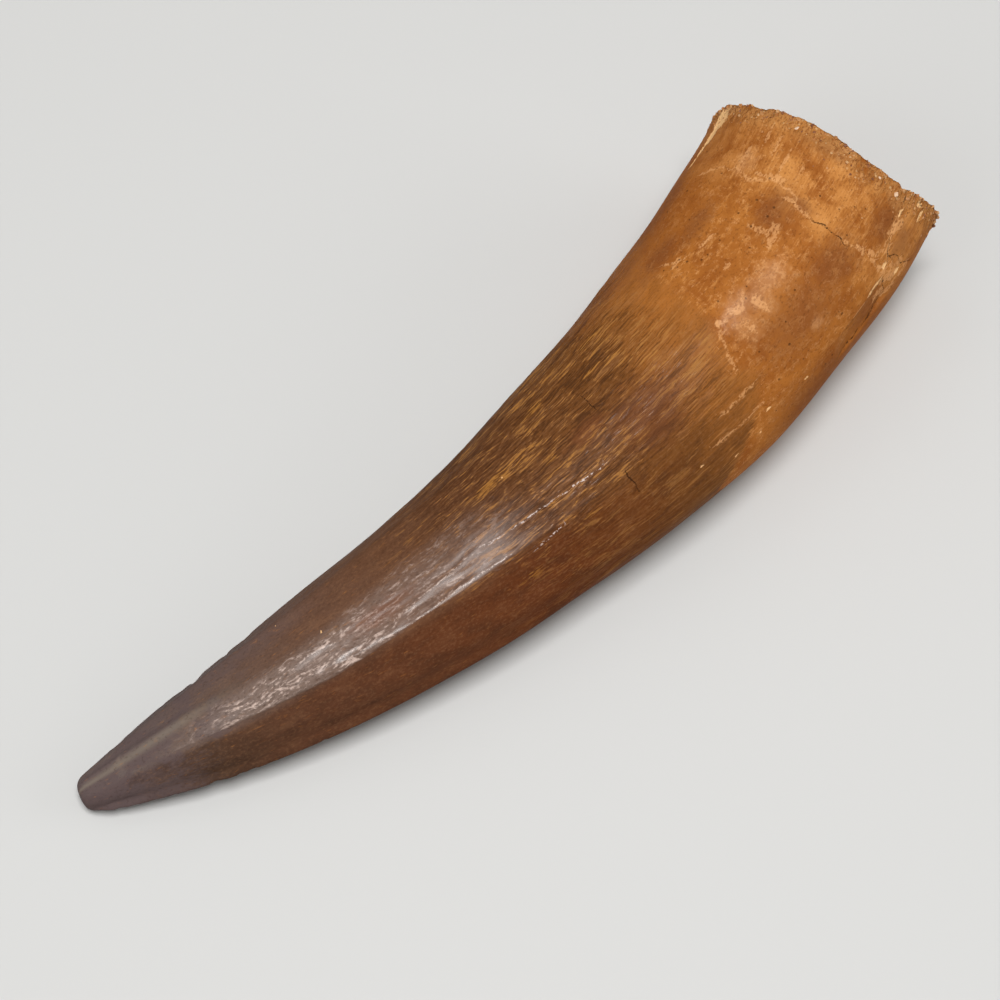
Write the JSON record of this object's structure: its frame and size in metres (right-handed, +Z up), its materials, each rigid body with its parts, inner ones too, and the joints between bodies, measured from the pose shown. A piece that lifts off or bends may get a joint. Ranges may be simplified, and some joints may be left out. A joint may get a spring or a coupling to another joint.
{
  "type": "fossil tooth",
  "caption": "Curved fossil tooth of a spinosaur: a dark enamel crown with a blunt worn tip and an amber root with a rough broken end, lying on its side.",
  "frame": {"origin": "centre of the bounding box, on the surface that the tooth lies on", "axes": "+X from the worn tip to the broken root, +Y to the hollow side of the bend, +Z up from the surface that it lies on"},
  "size_m": [0.101, 0.0288, 0.0219],
  "materials": {
    "fossil_dentine": "polished brown fossil enamel, satin amber dentine at the root, sandy broken end"
  },
  "bodies": {
    "root": {"tooth": "fossil_dentine"}
  },
  "joints": []
}
